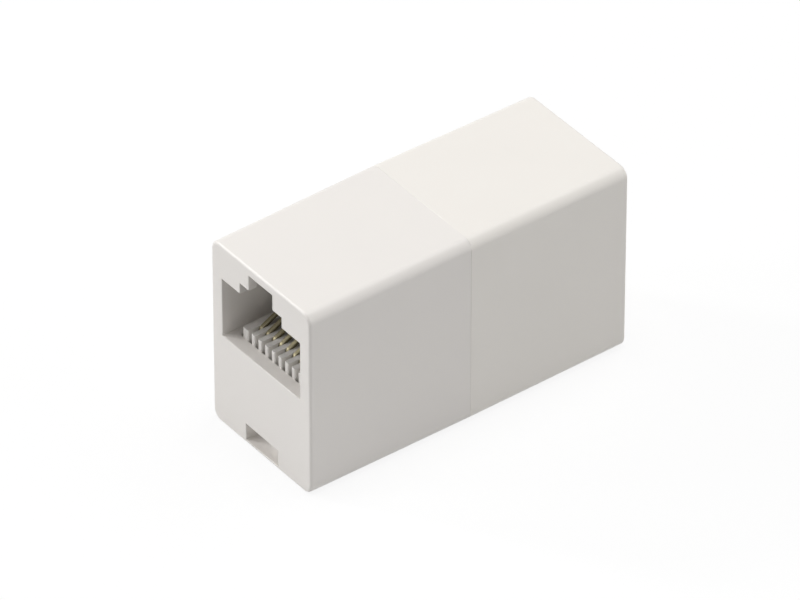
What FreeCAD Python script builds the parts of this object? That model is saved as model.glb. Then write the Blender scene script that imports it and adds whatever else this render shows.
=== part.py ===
# Inline coupler for two 8-position modular plugs, in millimetres.
#
# Two drafted half housings meet at mid-length, where they are widest and tallest. Each holds one
# insert: a comb block that carries eight formed contacts. Eight insulated links join the contact
# tails, pin n to pin n.
#
# Frame: +X to the right, +Y along the body into the front opening, +Z up through the latch keyway.
# The origin is the middle of the flat base. The front half and its pieces lie at -Y, and the pieces of
# the far end are the same ones turned half a turn about Z.

import FreeCAD, Part
import math
import os

Vector = FreeCAD.Vector

# ---- plug opening -------------------------------------------------------------------------------
opening_width = 11.9          # clear width for the plug body
opening_height = 6.55         # sill to the underside of the latch step
opening_base = 10.36          # sill level above the base
latch_step_width = 6.35       # wide step of the keyway, behind which the latch shoulders catch
latch_step_height = 1.2
latch_slot_width = 3.6        # narrow top of the keyway
latch_slot_height = 1.7
plug_depth = 11.3             # end face to the stop at the back of the plug space

# ---- housing ------------------------------------------------------------------------------------
side_wall = 1.55              # at the end faces; the draft adds to it towards the joint
roof_wall = 0.94              # at the end faces
floor_wall = 1.2
end_wall = 0.95               # plate round the keyway
sill_depth = 1.38             # plate below the opening, up to the comb
side_draft = 0.12             # half-width gained from an end face to the joint
roof_draft = 0.20             # height gained the same way; the base stays flat
cavity_draft = 0.20           # the same inside, so that the core pulls out
long_edge_radius = 1.1
end_edge_radius = 0.28
rail_thickness = 1.2          # ledges at sill level that the plug slides on
rail_gap = 0.4                # between a ledge and the comb
window_width = 4.95           # small window at the bottom edge of the end face
window_top = 2.2
window_lip = 0.35             # floor left under the window

# ---- joint between the halves -------------------------------------------------------------------
joint_lip = 0.5               # skin of the front half that wraps the spigot
joint_clearance = 0.05
spigot_length = 2.1
spigot_root = 0.5             # how far the spigot runs back into its own half
joint_relief = 0.04           # chamfer of both halves at the joint line
bead_length = 12.0            # snap bead on each side of the spigot
bead_radius = 0.35
bead_height = 0.18

# ---- contacts -----------------------------------------------------------------------------------
pin_count = 8
pin_pitch = 1.02
contact_width = 0.42
contact_thickness = 0.36
contact_clearance = 0.03      # round each contact in its groove
front_bend_radius = 0.47      # centre line of the visible bend
front_bend_height = 0.72      # bend centre above the sill
rise_angle = 28.0             # slope of the sprung arm, degrees
lower_bend_radius = 0.8

# ---- insert -------------------------------------------------------------------------------------
insert_clearance = 0.07       # to the housing's sides, rails and roof
slot_width = 0.47
outer_tooth_width = 0.83
tooth_height = 1.19           # above the sill
tooth_length = 4.9
tooth_edge = 0.08             # chamfer on the front corners of the teeth
slot_floor_drop = 0.46        # slot floor below the sill, behind the bend
comb_overhang = 1.06          # the comb's front ahead of the block's front face
insert_underside = 5.2        # grooved bottom of the block above the base
front_web = 1.46
deck_wall = 1.4
shelf_wall = 1.5
stop_thickness = 1.0          # wall at the back of the plug space
guide_bottom = 2.0            # guide grooves in that wall, above the sill
guide_top = 7.2
guide_depth = 0.6
cheek_inset = 0.12            # cheeks start this far outside the comb
foot_height = 2.4             # bar behind the window, above the housing floor
foot_thickness = 1.0

# ---- links --------------------------------------------------------------------------------------
link_room = 6.0               # from each insert's back to the joint
link_diameter = 0.84          # over the insulation
core_diameter = 0.34
wire_sides = 8                # flats that stand for a round wire
splice_width = 0.92
splice_height = 0.82
splice_length = 2.4
splice_gap = 0.1              # insert to splice
splice_clearance = 0.02       # round the contact tail in a splice
core_separation = 0.3         # between the tail and the core inside a splice
link_lead = 0.8               # straight run out of a splice, before the row of links twists
twist_runs = 6                # straight runs that make up the half twist

# ---- derived places, front half -----------------------------------------------------------------
opening_half = opening_width / 2
opening_top = opening_base + opening_height
step_top = opening_top + latch_step_height
chamber_top = step_top + latch_slot_height
end_height = chamber_top + roof_wall
joint_height = end_height + roof_draft
end_half_width = opening_half + side_wall
joint_half_width = end_half_width + side_draft
insert_length = plug_depth - sill_depth + stop_thickness
half_length = sill_depth + insert_length + link_room

y_face = -half_length
y_end_wall = y_face + end_wall
y_insert = y_face + sill_depth
y_stop = y_face + plug_depth
y_insert_back = y_stop + stop_thickness
y_block = y_insert + comb_overhang
groove_width = contact_width + 2 * contact_clearance
groove_depth = contact_thickness + 2 * contact_clearance
y_drop = y_block + groove_depth / 2
z_tail = insert_underside + groove_depth / 2

teeth_top = opening_base + tooth_height
pin_span = (pin_count - 1) * pin_pitch
comb_half = pin_span / 2 + slot_width / 2 + outer_tooth_width
rail_inner = comb_half + rail_gap
rail_bottom = opening_base - rail_thickness
insert_half = opening_half - insert_clearance
cheek_inner = comb_half + cheek_inset
cheek_top = rail_bottom - insert_clearance
pin_places = [-pin_span / 2 + pin * pin_pitch for pin in range(pin_count)]

y_splice = y_insert_back + splice_gap
y_splice_end = y_splice + splice_length
y_splice_middle = y_splice + splice_length / 2

OVER = 0.5                    # how far a cutting tool runs past the face that it opens
SAME_PLACE = 1e-4             # two places closer than this are the same
MITRED = 1                    # corner style of a swept wire


def box(x_low, x_high, y_low, y_high, z_low, z_high):
    """Block between three pairs of limits."""
    corner = Vector(x_low, y_low, z_low)
    return Part.makeBox(x_high - x_low, y_high - y_low, z_high - z_low, corner)


def centred_box(half_width, y_low, y_high, z_low, z_high):
    """Block that is symmetric about the middle plane."""
    return box(-half_width, half_width, y_low, y_high, z_low, z_high)


def long_edges(shape):
    """Edges that run the length of a shape, along Y."""
    return [edge for edge in shape.Edges if edge.BoundBox.YLength > shape.BoundBox.YLength / 2]


def edges_at(shape, y):
    """Edges that lie wholly in one plane across the body."""
    return [edge for edge in shape.Edges
            if abs(edge.BoundBox.YMin - y) < SAME_PLACE and abs(edge.BoundBox.YMax - y) < SAME_PLACE]


def rounded_bar(half_width, y_low, y_high, z_low, z_high, radius):
    """Centred block with its long edges rounded."""
    bar = centred_box(half_width, y_low, y_high, z_low, z_high)
    return bar.makeFillet(radius, long_edges(bar))


def plan_block(stations, z_low, z_high):
    """Centred upright block whose half-width is given at stations along Y."""
    right = [Vector(half_width, y, z_low) for half_width, y in stations]
    left = [Vector(-half_width, y, z_low) for half_width, y in reversed(stations)]
    face = Part.Face(Part.makePolygon(right + left + right[:1]))
    return face.extrude(Vector(0, 0, z_high - z_low))


def opening_outline():
    """Stepped jack opening, drawn on the end face: plug body, latch step and latch slot."""
    half, step, slot = opening_half, latch_step_width / 2, latch_slot_width / 2
    right = [(half, opening_base), (half, opening_top), (step, opening_top),
             (step, step_top), (slot, step_top), (slot, chamber_top)]
    left = [(-x, z) for x, z in reversed(right)]
    points = [Vector(x, y_face - OVER, z) for x, z in right + left]
    return Part.Face(Part.makePolygon(points + points[:1]))


def roof_wedge():
    """What the roof's draft leaves out above one half."""
    x = -joint_half_width - OVER
    points = [Vector(x, 0, joint_height), Vector(x, y_face, end_height), Vector(x, y_face, joint_height)]
    face = Part.Face(Part.makePolygon(points + points[:1]))
    return face.extrude(Vector(-2 * x, 0, 0))


def outer_half():
    """Outside of one half: drafted sides and roof, rounded long edges, softened end face."""
    solid = plan_block([(end_half_width, y_face), (joint_half_width, 0)], 0, joint_height)
    solid = solid.cut(roof_wedge())
    solid = solid.makeFillet(long_edge_radius, long_edges(solid))
    solid = solid.makeFillet(end_edge_radius, edges_at(solid, y_face))
    return solid.makeChamfer(joint_relief, edges_at(solid, 0))


def core_block(y_start, z_low, z_high):
    """Inside core that widens towards the joint and runs out past it."""
    share = (y_start - y_face) / (0 - y_face)
    start_half = opening_half + cavity_draft * share
    joint_half = opening_half + cavity_draft
    return plan_block([(start_half, y_start), (joint_half, 0), (joint_half, OVER)], z_low, z_high)


def cavity():
    """Inside of one half, open at the joint, with the rails and the sill left standing."""
    above_sill = core_block(y_end_wall, opening_base, chamber_top)
    below_rails = core_block(y_insert, floor_wall, rail_bottom)
    between_rails = centred_box(rail_inner, y_insert, 0, floor_wall, opening_base)
    behind_rails = core_block(y_stop - insert_clearance, floor_wall, opening_base)
    return above_sill.multiFuse([below_rails, between_rails, behind_rails])


def window():
    """Cutter for the small window at the bottom edge of the end face."""
    return centred_box(window_width / 2, y_face - OVER, y_insert, window_lip, window_top)


def plain_half():
    """One half housing before it gets its side of the joint."""
    shell = outer_half().cut(cavity())
    opening = opening_outline().extrude(Vector(0, OVER + sill_depth, 0))
    return shell.cut(opening).cut(window())


def bead(radius_gain, length_gain):
    """Snap bead on both sides of the spigot, or its groove when made larger."""
    spigot_half = joint_half_width - joint_lip - joint_clearance
    offset = spigot_half - bead_radius + bead_height
    length = bead_length + 2 * length_gain
    low = (joint_height - length) / 2
    pair = []
    for side in (-1, 1):
        base = Vector(side * offset, -spigot_length / 2, low)
        pair.append(Part.makeCylinder(bead_radius + radius_gain, length, base))
    return pair


def make_front_housing():
    """Front half: its rim is thinned to a lip round the spigot."""
    socket = rounded_bar(joint_half_width - joint_lip, -spigot_length - joint_clearance, OVER,
                         joint_lip, joint_height - joint_lip, long_edge_radius - joint_lip)
    grooves = bead(joint_clearance, joint_clearance)
    return plain_half().cut(socket).cut(grooves)


def make_rear_housing():
    """Rear half, turned round, with the spigot that fills the front half's rim."""
    inset = joint_lip + joint_clearance
    bar = rounded_bar(joint_half_width - inset, -spigot_length, spigot_root,
                      inset, joint_height - inset, long_edge_radius - joint_lip)
    hollow = centred_box(opening_half + cavity_draft, -spigot_length - OVER, spigot_root + OVER,
                         floor_wall, chamber_top)
    ring = bar.multiFuse(bead(0, 0)).cut(hollow)
    return turned(plain_half()).fuse(ring).removeSplitter()


def turned(shape):
    """The same piece for the far end."""
    copy = shape.copy()
    copy.rotate(Vector(0, 0, 0), Vector(0, 0, 1), 180)
    return copy


def comb():
    """Deck with nine teeth, ahead of and over the block."""
    deck = centred_box(comb_half, y_insert, y_stop, opening_base - deck_wall, opening_base)
    teeth = centred_box(comb_half, y_insert, y_insert + tooth_length,
                        opening_base - deck_wall, teeth_top)
    return deck.fuse(teeth)


def comb_slots():
    """Slots between the teeth: open right through in front, with a floor behind the bend."""
    y_floor = y_block + groove_depth
    half = slot_width / 2
    cutters = []
    for x in pin_places:
        cutters.append(box(x - half, x + half, y_insert - OVER, y_floor,
                           insert_underside - OVER, teeth_top + OVER))
        cutters.append(box(x - half, x + half, y_insert, y_insert + tooth_length + OVER,
                           opening_base - slot_floor_drop, teeth_top + OVER))
    return cutters


def tooth_corner_cutters():
    """Small chamfers down the front corners of the teeth."""
    walls = [-comb_half] + [x + side * slot_width / 2 for x in pin_places for side in (-1, 1)]
    walls.append(comb_half)
    cutters = []
    for index, x in enumerate(walls):
        inward = 1 if index % 2 == 0 else -1
        points = [Vector(x, y_insert, 0), Vector(x + inward * tooth_edge, y_insert, 0),
                  Vector(x, y_insert + tooth_edge, 0)]
        face = Part.Face(Part.makePolygon(points + points[:1]))
        face.translate(Vector(0, 0, opening_base - deck_wall - OVER))
        cutters.append(face.extrude(Vector(0, 0, tooth_height + deck_wall + 2 * OVER)))
    return cutters


def insert_block():
    """Box beam that the contacts wrap: its lower front corner is rounded to their bend."""
    block = centred_box(insert_half, y_block, y_insert_back, insert_underside, cheek_top)
    corner = [edge for edge in block.Edges
              if abs(edge.CenterOfMass.y - y_block) < SAME_PLACE
              and abs(edge.CenterOfMass.z - insert_underside) < SAME_PLACE]
    return block.makeFillet(lower_bend_radius + groove_depth / 2, corner)


def cheeks():
    """Side plates that stand on the housing floor and butt against the other insert's."""
    pair = []
    for low, high in ((-insert_half, -cheek_inner), (cheek_inner, insert_half)):
        pair.append(box(low, high, y_insert, 0, floor_wall, cheek_top))
    return pair


def stop_wall():
    """Wall at the back of the plug space, with a guide groove for each sprung arm."""
    wall = centred_box(insert_half, y_stop, y_insert_back, insert_underside,
                       chamber_top - insert_clearance)
    half = slot_width / 2
    grooves = [box(x - half, x + half, y_stop - OVER, y_stop + guide_depth,
                   opening_base + guide_bottom, opening_base + guide_top) for x in pin_places]
    return wall.cut(grooves)


def foot():
    """Bar between the cheeks, behind the window."""
    return centred_box(cheek_inner, y_insert, y_insert + foot_thickness,
                       floor_wall, floor_wall + foot_height)


def insert_core():
    """Hollow of the block, pulled out towards the joint."""
    return centred_box(comb_half - front_web / 2, y_block + front_web, y_insert_back + OVER,
                       insert_underside + shelf_wall, opening_base - deck_wall)


def underside_grooves():
    """Grooves that hold the contact tails along the bottom of the block."""
    half = groove_width / 2
    z_low = insert_underside - OVER
    z_high = insert_underside + groove_depth
    return [box(x - half, x + half, y_block - OVER, y_insert_back + OVER, z_low, z_high)
            for x in pin_places]


def lower_bend_reliefs():
    """Rounds the bottom of each groove to the lower bend of its contact."""
    half = groove_width / 2
    radius = lower_bend_radius - groove_depth / 2
    reach = lower_bend_radius + groove_depth
    centre_y = y_drop + lower_bend_radius
    centre_z = z_tail + lower_bend_radius
    cutters = []
    for x in pin_places:
        corner = box(x - half, x + half, centre_y - reach, centre_y, centre_z - reach, centre_z)
        base = Vector(x - half, centre_y, centre_z)
        drum = Part.makeCylinder(radius, groove_width, base, Vector(1, 0, 0))
        cutters.append(corner.cut(drum))
    return cutters


def make_front_insert():
    """Comb block of one end, as one moulding."""
    solid = insert_block().multiFuse([comb(), stop_wall(), foot()] + cheeks())
    solid = solid.cut([insert_core()] + underside_grooves() + comb_slots())
    solid = solid.cut(lower_bend_reliefs() + tooth_corner_cutters())
    return solid.removeSplitter()


def along(angle):
    """Direction at an angle from +Y towards +Z, in the plane of a contact."""
    return Vector(0, math.cos(angle), math.sin(angle))


def contact_side(offset):
    """One side of the formed strip, an offset outside its centre line, from the arm to the tail."""
    rise = math.radians(rise_angle)
    upright = math.radians(90)
    front_centre = Vector(0, y_drop + front_bend_radius, opening_base + front_bend_height)
    lower_centre = Vector(0, y_drop + lower_bend_radius, z_tail + lower_bend_radius)
    front_radius = front_bend_radius + offset
    lower_radius = lower_bend_radius + offset
    arm_out = along(rise + upright)
    arm_foot = front_centre + arm_out * front_radius
    y_free = y_stop + guide_depth - contact_clearance - contact_thickness
    reach = (y_free - front_centre.y) / math.cos(rise)
    bend_middle = front_centre + along((rise + 3 * upright) / 2) * front_radius
    drop_top = front_centre + along(2 * upright) * front_radius
    drop_foot = lower_centre + along(2 * upright) * lower_radius
    lower_middle = lower_centre + along(2.5 * upright) * lower_radius
    tail_start = lower_centre + along(3 * upright) * lower_radius
    tail_end = Vector(0, y_splice_middle - core_separation / 2, z_tail - offset)
    return [
        Part.LineSegment(arm_foot + along(rise) * reach, arm_foot).toShape(),
        Part.Arc(arm_foot, bend_middle, drop_top).toShape(),
        Part.LineSegment(drop_top, drop_foot).toShape(),
        Part.Arc(drop_foot, lower_middle, tail_start).toShape(),
        Part.LineSegment(tail_start, tail_end).toShape(),
    ]


def make_contact():
    """Formed strip at x = 0: sprung arm, front bend, drop, lower bend and tail."""
    outer = contact_side(contact_thickness / 2)
    inner = contact_side(-contact_thickness / 2)
    ends = [Part.LineSegment(outer[index].Vertexes[which].Point,
                             inner[index].Vertexes[which].Point).toShape()
            for index, which in ((0, 0), (-1, 1))]
    outline = Part.Wire(Part.__sortEdges__(outer + inner + ends))
    strip = Part.Face(outline).extrude(Vector(contact_width, 0, 0))
    strip.translate(Vector(-contact_width / 2, 0, 0))
    return strip


def wire_ring(centre, diameter):
    """Cross-section of a wire that runs along Y, with its flats at the given diameter."""
    radius = diameter / 2 / math.cos(math.pi / wire_sides)
    points = []
    for side in range(wire_sides + 1):
        angle = 2 * math.pi * (side + 0.5) / wire_sides
        points.append(centre + Vector(radius * math.cos(angle), 0, radius * math.sin(angle)))
    return Part.makePolygon(points)


def twisted_row_point(x, share):
    """Place of a link at one share of the half twist that turns the row end for end."""
    angle = math.pi * share * share * (3 - 2 * share)
    y_start = y_splice_end + link_lead
    return Vector(x * math.cos(angle), y_start * (1 - 2 * share), z_tail + x * math.sin(angle))


def make_link(pin):
    """Insulated link from pin n of the front insert to pin n of the rear one."""
    x = pin_places[pin]
    start = Vector(x, y_splice_end, z_tail)
    end = Vector(-x, -y_splice_end, z_tail)
    twist = [twisted_row_point(x, run / twist_runs) for run in range(twist_runs + 1)]
    path = Part.makePolygon([start] + twist + [end])
    insulation = path.makePipeShell([wire_ring(start, link_diameter)], True, False, MITRED)
    y_core = y_splice_middle + core_separation / 2
    ring = Part.Face(wire_ring(Vector(x, y_core, z_tail), core_diameter))
    core = ring.extrude(Vector(0, y_splice_end - y_core, 0))
    return insulation.multiFuse([core, turned(core)])


def make_front_splices():
    """Eight square crimp sleeves, side by side behind the front insert."""
    bore_width = contact_width + 2 * splice_clearance
    bore_height = contact_thickness + 2 * splice_clearance
    sleeves = []
    for x in pin_places:
        levels = [(splice_width, splice_height), (bore_width, bore_height)]
        outside, bore = [box(x - width / 2, x + width / 2, y_splice, y_splice_end,
                             z_tail - height / 2, z_tail + height / 2) for width, height in levels]
        sleeves.append(outside.cut(bore))
    return Part.makeCompound(sleeves)


def save(shape, node):
    """Write one piece."""
    shape.exportStep("parts/" + node + ".step")


def main():
    os.makedirs("parts", exist_ok=True)
    save(make_front_housing(), "front_housing")
    save(make_rear_housing(), "rear_housing")
    front_insert = make_front_insert()
    save(front_insert, "front_insert")
    save(turned(front_insert), "rear_insert")
    contact = make_contact()
    for pin, x in enumerate(pin_places):
        placed = contact.copy()
        placed.translate(Vector(x, 0, 0))
        save(placed, "front_contact_%d" % (pin + 1))
        save(turned(placed), "rear_contact_%d" % (pin + 1))
        save(make_link(pin), "link_wire_%d" % (pin + 1))
    splices = make_front_splices()
    save(splices, "front_splices")
    save(turned(splices), "rear_splices")


main()
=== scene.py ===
import math

import bmesh
import bpy
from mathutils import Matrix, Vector


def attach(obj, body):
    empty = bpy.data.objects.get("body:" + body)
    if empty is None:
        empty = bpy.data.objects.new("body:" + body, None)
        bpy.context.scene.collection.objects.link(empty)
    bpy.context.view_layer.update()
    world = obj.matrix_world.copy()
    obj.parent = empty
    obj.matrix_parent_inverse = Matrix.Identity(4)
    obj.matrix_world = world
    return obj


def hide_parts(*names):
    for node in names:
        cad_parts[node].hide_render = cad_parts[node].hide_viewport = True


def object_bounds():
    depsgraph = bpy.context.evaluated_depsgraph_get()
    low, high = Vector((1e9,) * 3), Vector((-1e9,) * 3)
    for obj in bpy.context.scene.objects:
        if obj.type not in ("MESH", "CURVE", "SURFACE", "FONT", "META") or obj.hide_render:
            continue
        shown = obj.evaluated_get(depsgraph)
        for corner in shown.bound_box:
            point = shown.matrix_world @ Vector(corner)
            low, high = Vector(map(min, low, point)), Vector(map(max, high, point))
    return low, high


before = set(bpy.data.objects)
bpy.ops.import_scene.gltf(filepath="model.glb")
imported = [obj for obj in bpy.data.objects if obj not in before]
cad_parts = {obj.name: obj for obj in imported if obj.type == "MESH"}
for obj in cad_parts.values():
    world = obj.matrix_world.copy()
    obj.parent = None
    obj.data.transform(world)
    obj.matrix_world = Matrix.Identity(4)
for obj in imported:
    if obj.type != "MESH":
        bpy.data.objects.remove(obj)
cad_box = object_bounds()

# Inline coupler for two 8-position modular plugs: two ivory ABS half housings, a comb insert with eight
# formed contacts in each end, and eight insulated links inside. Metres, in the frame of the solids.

MM = 0.001
PIN_COUNT = 8
WHITE = (1, 1, 1, 1)


# ---- colour and nodes ---------------------------------------------------------------------------

MIX_A, MIX_B, MIX_RESULT = 6, 7, 2    # colour sockets of a Mix node
NOISE_LOW, NOISE_HIGH = 0.3, 0.7      # most of a noise pattern lies between these


def linear(hex_colour):
    """An sRGB hex colour as linear red, green, blue and alpha."""
    channels = []
    for start in (1, 3, 5):
        value = int(hex_colour[start:start + 2], 16) / 255
        channels.append(value / 12.92 if value <= 0.04045 else ((value + 0.055) / 1.055) ** 2.4)
    return (*channels, 1.0)


def add(tree, kind, settings=None, links=None):
    """Adds one node, sets its properties and sockets, and links its inputs."""
    node = tree.nodes.new(kind)
    for name, value in (settings or {}).items():
        if isinstance(name, str) and hasattr(node, name):
            setattr(node, name, value)
        else:
            node.inputs[name].default_value = value
    for name, source in (links or {}).items():
        tree.links.new(source, node.inputs[name])
    return node


def new_material(name):
    """An empty material, its tree and its output node."""
    material = bpy.data.materials.new(name)
    material.use_nodes = True
    tree = material.node_tree
    tree.nodes.clear()
    return material, tree, add(tree, "ShaderNodeOutputMaterial")


def noise(tree, place, size_mm, detail, roughness=0.5):
    """Noise whose features have a real size in millimetres."""
    return add(tree, "ShaderNodeTexNoise",
               {"Scale": 1 / (size_mm * MM), "Detail": detail, "Roughness": roughness},
               {"Vector": place}).outputs["Fac"]


def two_tones(tree, pattern, one, other):
    """A colour that drifts between two hex colours with a pattern."""
    return add(tree, "ShaderNodeMix", {"data_type": "RGBA", MIX_A: linear(one), MIX_B: linear(other)},
               {0: pattern}).outputs[MIX_RESULT]


def varied(tree, pattern, middle, spread):
    """A number that a pattern takes to each side of its middle."""
    return add(tree, "ShaderNodeMapRange",
               {"From Min": NOISE_LOW, "From Max": NOISE_HIGH, "To Min": middle - spread,
                "To Max": middle + spread}, {"Value": pattern}).outputs["Result"]


def relief(tree, pattern, depth_mm, strength):
    """Bumps with a real depth in millimetres."""
    return add(tree, "ShaderNodeBump", {"Strength": strength, "Distance": depth_mm * MM},
               {"Height": pattern}).outputs["Normal"]


# ---- materials ----------------------------------------------------------------------------------

def moulded_plastic(name, tone, other_tone, roughness, grain_mm, grain_depth_mm):
    """Injection-moulded plastic: faint flow marks in the colour, and the mould's fine spark-eroded grain.

    The flow marks drift between two near tones over several millimetres. The grain breaks up the
    reflections, so that edges shine softly and flats stay satin.
    """
    material, tree, output = new_material(name)
    place = add(tree, "ShaderNodeTexCoord").outputs["Object"]
    flow = noise(tree, place, size_mm=7.0, detail=2.0, roughness=0.4)
    grain = noise(tree, place, grain_mm, detail=3.0, roughness=0.55)
    shader = add(tree, "ShaderNodeBsdfPrincipled", {"IOR": 1.54},
                 {"Base Color": two_tones(tree, flow, tone, other_tone),
                  "Roughness": varied(tree, grain, roughness, spread=0.03),
                  "Normal": relief(tree, grain, grain_depth_mm, strength=1.0)})
    tree.links.new(shader.outputs["BSDF"], output.inputs["Surface"])
    return material


def rolled_metal(name, bright, dull, roughness, line_mm):
    """Plated strip: fine rolling lines along its length and small changes in the plating's tone."""
    material, tree, output = new_material(name)
    place = add(tree, "ShaderNodeTexCoord").outputs["Object"]
    along = add(tree, "ShaderNodeMapping", {"Scale": (1.0, 0.06, 0.06)}, {"Vector": place})
    lines = noise(tree, along.outputs["Vector"], line_mm, detail=3.0)
    shader = add(tree, "ShaderNodeBsdfPrincipled", {"Metallic": 1.0},
                 {"Base Color": two_tones(tree, lines, bright, dull),
                  "Roughness": varied(tree, lines, roughness, spread=0.06),
                  "Normal": relief(tree, lines, depth_mm=0.002, strength=0.5)})
    tree.links.new(shader.outputs["BSDF"], output.inputs["Surface"])
    return material


def extruded_pvc(name, colour):
    """Wire insulation: smooth extruded PVC, faintly uneven, with a waxy gloss."""
    material, tree, output = new_material(name)
    place = add(tree, "ShaderNodeTexCoord").outputs["Object"]
    unevenness = noise(tree, place, size_mm=0.25, detail=2.0)
    shader = add(tree, "ShaderNodeBsdfPrincipled",
                 {"Base Color": linear(colour), "Roughness": 0.34, "IOR": 1.53},
                 {"Normal": relief(tree, unevenness, depth_mm=0.004, strength=0.4)})
    tree.links.new(shader.outputs["BSDF"], output.inputs["Surface"])
    return material


# Ivory ABS: the moulded housings, satin, a warm off-white. The rear half is painted a little lighter and
# warmer as a painted sheen, standing in for the brighter gloss on its roof.
front_abs = moulded_plastic("moulded ivory ABS, front half", "#ECE8E3", "#E9E5E1", 0.37, 0.12, 0.0012)
# Rear half: the same ABS in a lighter, warmer tone, a painted sheen.
rear_abs_painted_sheen = moulded_plastic("moulded ivory ABS, rear half", "#EFEBE5", "#ECE8E2", 0.37, 0.12, 0.0012)
# Ivory polyester: the comb inserts, a little greyer and duller than the housings.
insert_pbt = moulded_plastic("moulded ivory polyester", "#E6E3DF", "#E2DFDB", 0.50, 0.10, 0.0015)
# Gold flash over nickel: dull olive gold with fine rolling lines, brighter where it bends.
gold_strip = rolled_metal("gold-plated phosphor bronze strip", "#9B947A", "#868068", 0.50, 0.05)
# Tinned copper: grey-white metal sleeves, dulled by crimping.
tinned_copper = rolled_metal("tinned copper sleeve", "#CFCBC4", "#B9B4AC", 0.38, 0.08)
# PVC insulation in the eight colours of a modular lead, from pin 1 to pin 8.
LINK_COLOURS = {"blue": "#2C5FA8", "orange": "#E5822E", "black": "#242424", "red": "#B92B2B",
                "green": "#2F8A4A", "yellow": "#E9C93C", "brown": "#6B432A", "white": "#E8E6E0"}
link_pvc = [extruded_pvc("extruded PVC, " + name, colour) for name, colour in LINK_COLOURS.items()]


# ---- pieces -------------------------------------------------------------------------------------

END_FACE = (cad_box[1][1] - cad_box[0][1]) / 2
SAME_PLACE = 0.01 * MM
SAME_PLANE = 0.001 * MM
TEETH_END = END_FACE - 6.2 * MM       # the comb's teeth lie outside this
TEETH_FOOT = 10.4 * MM                # and above this, just over the sill
ROOF = 20.0 * MM                      # only the roof lies above this

CORNER_GAP = 0.0005 * MM              # corners of a solid's mesh nearer than this are one
FLAT_ANGLE = math.radians(0.5)
HARD_ANGLE = math.radians(32)
SHARP_ANGLE = math.radians(35)

OPENING_EASE_MM = 0.08
TOOTH_EASE_MM = 0.05
CONTACT_EASE_MM = 0.07
RELIEF_LENGTH = 0.1 * MM              # longer than the chamfer at the joint
RELIEF_FILL = 0.8                     # share of that chamfer that the roof's flash fills


def merged_solid(node):
    """A working copy of a solid, with its corners joined and its flat faces whole."""
    bm = bmesh.new()
    bm.from_mesh(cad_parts[node].data)
    bmesh.ops.remove_doubles(bm, verts=bm.verts, dist=CORNER_GAP)
    bmesh.ops.dissolve_limit(bm, angle_limit=FLAT_ANGLE, verts=bm.verts, edges=bm.edges,
                             use_dissolve_boundaries=False)
    return bm


def ease_edges(bm, edge_mm, chosen):
    """Rounds the chosen hard edges by a small radius."""
    hard = [edge for edge in bm.edges if chosen(edge) and edge.calc_face_angle(0) > HARD_ANGLE]
    bmesh.ops.bevel(bm, geom=hard, offset=edge_mm * MM, offset_type="OFFSET", segments=2,
                    profile=0.5, affect="EDGES", material=-1, clamp_overlap=False)


def close_roof_joint(bm):
    """Fills most of the groove along the joint across the roof, where the halves meet tightest."""
    for edge in bm.edges:
        inner, outer = sorted(edge.verts, key=lambda vert: abs(vert.co.y))
        at_joint = abs(inner.co.y) < SAME_PLACE and edge.calc_length() < RELIEF_LENGTH
        if at_joint and outer.co.z > ROOF:
            inner.co.x, inner.co.z = inner.co.xz.lerp(outer.co.xz, RELIEF_FILL)


def refill_end_face(bm, outward):
    """Fills the end face anew round its openings, because it is one face with holes."""
    flat = [face for face in bm.faces if all(abs(vert.co.y) > END_FACE - SAME_PLANE
                                             for vert in face.verts)]
    bmesh.ops.delete(bm, geom=flat, context="FACES")
    rims = [edge for edge in bm.edges if edge.is_boundary]
    bmesh.ops.triangle_fill(bm, edges=rims, use_beauty=True, normal=outward)


def finished_piece(bm, name, node, material):
    """Puts a reworked copy in the place of its solid."""
    for face in bm.faces:
        face.smooth = True
    mesh = bpy.data.meshes.new(name)
    bm.to_mesh(mesh)
    bm.free()
    mesh.set_sharp_from_angle(angle=SHARP_ANGLE)
    mesh.materials.append(material)
    piece = bpy.data.objects.new(name, mesh)
    bpy.context.scene.collection.objects.link(piece)
    flat = piece.modifiers.new("flat faces", "WEIGHTED_NORMAL")
    flat.keep_sharp = True
    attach(piece, "root")
    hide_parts(node)


def dress(node, material):
    """Gives a solid that stays as it is its material."""
    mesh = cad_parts[node].data
    mesh.materials.clear()
    mesh.materials.append(material)


def any_edge(edge):
    """Chooses every edge."""
    return True


def opening_edge(edge):
    """Chooses the outlines of the opening and the window in an end face."""
    return all(abs(vert.co.y) > END_FACE - SAME_PLACE for vert in edge.verts)


def tooth_edge(edge):
    """Chooses the edges of the comb's teeth, above the sill."""
    return all(abs(vert.co.y) > TEETH_END and vert.co.z > TEETH_FOOT for vert in edge.verts)


def finish_housing(end, outward, material):
    """Half housing with its openings' sharp moulded corners just broken."""
    bm = merged_solid(end + "_housing")
    ease_edges(bm, OPENING_EASE_MM, opening_edge)
    close_roof_joint(bm)
    refill_end_face(bm, outward)
    finished_piece(bm, end + "_shell", end + "_housing", material)


def finish_insert(end):
    """Comb insert with the edges of its teeth just broken."""
    bm = merged_solid(end + "_insert")
    ease_edges(bm, TOOTH_EASE_MM, tooth_edge)
    finished_piece(bm, end + "_comb", end + "_insert", insert_pbt)


def finish_contact(node):
    """Formed contact with the rounded edges of drawn and flattened wire."""
    bm = merged_solid(node)
    ease_edges(bm, CONTACT_EASE_MM, any_edge)
    finished_piece(bm, node + "_formed", node, gold_strip)


for end, outward, abs_tone in (("front", (0, -1, 0), front_abs), ("rear", (0, 1, 0), rear_abs_painted_sheen)):
    finish_housing(end, outward, abs_tone)
    finish_insert(end)
    dress(end + "_splices", tinned_copper)
    for pin in range(1, PIN_COUNT + 1):
        finish_contact("%s_contact_%d" % (end, pin))
for pin, insulation in enumerate(link_pvc, 1):
    dress("link_wire_%d" % pin, insulation)


# ---- studio -------------------------------------------------------------------------------------

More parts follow.
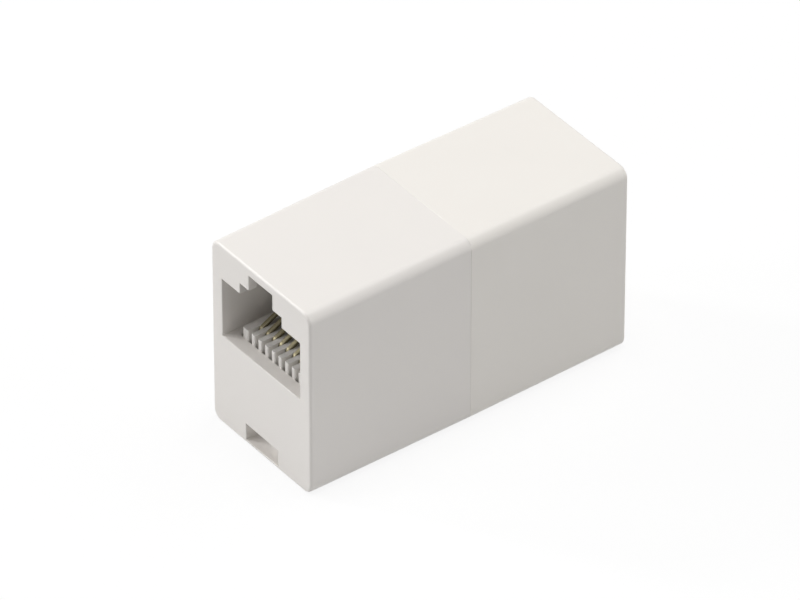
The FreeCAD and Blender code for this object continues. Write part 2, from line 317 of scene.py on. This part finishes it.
PAPER_HALF = 0.3          # half of the side of the square sheet under the coupler
PAPER_GLOW = 1.08
GLOW_SHARE = 0.80         # the rest of the paper's look is light, so the shadow stays
ROOM_LIGHT = 0.10
LAMP_DISTANCE = 0.8

# Lamps by name, with where each stands as seen from the coupler, its diameter and its level.
# These show in the gloss, along the rounded edges.
SHOWN_LAMPS = (
    ("left_lamp", (-0.75, -0.5, 0.45), 0.12, 0.30),
    ("front_left_lamp", (-0.5, -0.75, 0.4), 0.15, 0.11),
    ("rear_top_softbox", (0.0, 0.5, 0.87), 0.6, 0.26),
)
# Fill lamps, too even to show as reflections.
HIDDEN_LAMPS = (
    ("top_softbox", (0.0, 0.0, 1.0), 0.4, 0.44),
    ("low_left_card", (-0.5, -0.9, 0.25), 0.6, 0.17),
    ("front_right_card", (0.5, -0.9, 0.3), 0.6, 0.09),
    ("right_rear_softbox", (0.75, 0.7, 0.35), 0.8, 0.27),
)
# A small card that only shows in the gloss, as the thin bright line along the roof's front edge.
EDGE_CARD = ("edge_card", (-0.63, -0.25, 0.73), 0.05, 0.24)

LENS_MM = 414.72
SENSOR_MM = 36.0
CAMERA_PLACE = (0.531919, -0.406557, 0.532264)
CAMERA_AZIMUTH = 52.771               # degrees, as is the elevation
CAMERA_ELEVATION = 37.982
NEAREST_SEEN = 0.01


def see_through_rays(tree):
    """1 for camera, glossy and transmission rays, which see the backdrop's own brightness."""
    path = add(tree, "ShaderNodeLightPath").outputs
    either = add(tree, "ShaderNodeMath", {"operation": "MAXIMUM"},
                 {0: path["Is Camera Ray"], 1: path["Is Glossy Ray"]})
    return add(tree, "ShaderNodeMath", {"operation": "MAXIMUM"},
               {0: either.outputs[0], 1: path["Is Transmission Ray"]}).outputs[0]


def white_paper():
    """Pale matte paper, which looks white and keeps a soft shadow."""
    material, tree, output = new_material("white background paper")
    paper = add(tree, "ShaderNodeBsdfDiffuse", {"Color": linear("#D8D8D8")})
    glow = add(tree, "ShaderNodeEmission", {"Color": WHITE, "Strength": PAPER_GLOW})
    share = add(tree, "ShaderNodeMath", {"operation": "MULTIPLY", 1: GLOW_SHARE},
                {0: see_through_rays(tree)})
    mix = add(tree, "ShaderNodeMixShader", None,
              {0: share.outputs[0], 1: paper.outputs[0], 2: glow.outputs[0]})
    tree.links.new(mix.outputs[0], output.inputs["Surface"])
    return material


def studio_floor():
    """Sheet of paper that the coupler stands on."""
    bm = bmesh.new()
    bmesh.ops.create_grid(bm, x_segments=1, y_segments=1, size=PAPER_HALF)
    mesh = bpy.data.meshes.new("studio_floor")
    bm.to_mesh(mesh)
    bm.free()
    mesh.materials.append(white_paper())
    floor = bpy.data.objects.new("studio_floor", mesh)
    bpy.context.scene.collection.objects.link(floor)


def studio_world():
    """Even soft light from all round; the camera sees it white."""
    world = bpy.data.worlds.new("studio_world")
    bpy.context.scene.world = world
    world.use_nodes = True
    tree = world.node_tree
    tree.nodes.clear()
    seen = add(tree, "ShaderNodeBackground", {"Color": WHITE, "Strength": 1.0})
    light = add(tree, "ShaderNodeBackground", {"Color": WHITE, "Strength": ROOM_LIGHT})
    mix = add(tree, "ShaderNodeMixShader", None,
              {0: see_through_rays(tree), 1: light.outputs[0], 2: seen.outputs[0]})
    output = add(tree, "ShaderNodeOutputWorld")
    tree.links.new(mix.outputs[0], output.inputs["Surface"])


def studio_lamp(name, towards, diameter, level, reflected=True, lights=True):
    """Round lamp aimed at the coupler; level is what a white card facing it would show."""
    data = bpy.data.lights.new(name, "AREA")
    data.shape = "DISK"
    data.size = diameter
    data.energy = level * math.pi ** 2 * LAMP_DISTANCE ** 2
    lamp = bpy.data.objects.new(name, data)
    bpy.context.scene.collection.objects.link(lamp)
    aim = (Vector(cad_box[0]) + Vector(cad_box[1])) / 2
    direction = Vector(towards).normalized()
    lamp.location = aim + direction * LAMP_DISTANCE
    lamp.rotation_euler = direction.to_track_quat("Z", "Y").to_euler()
    lamp.visible_glossy = reflected
    lamp.visible_diffuse = lights


def studio_camera():
    """Long lens from the front right, looking down on the coupler."""
    data = bpy.data.cameras.new("camera")
    data.sensor_width = SENSOR_MM
    data.lens = LENS_MM
    data.clip_start = NEAREST_SEEN
    camera = bpy.data.objects.new("camera", data)
    bpy.context.scene.collection.objects.link(camera)
    camera.location = CAMERA_PLACE
    tilt = math.pi / 2 - math.radians(CAMERA_ELEVATION)
    camera.rotation_euler = (tilt, 0, math.radians(CAMERA_AZIMUTH))
    bpy.context.scene.camera = camera


studio_floor()
studio_world()
studio_lamp(*EDGE_CARD, lights=False)
for lamp in SHOWN_LAMPS:
    studio_lamp(*lamp)
for lamp in HIDDEN_LAMPS:
    studio_lamp(*lamp, reflected=False)
studio_camera()
bpy.context.scene.view_settings.view_transform = "Standard"
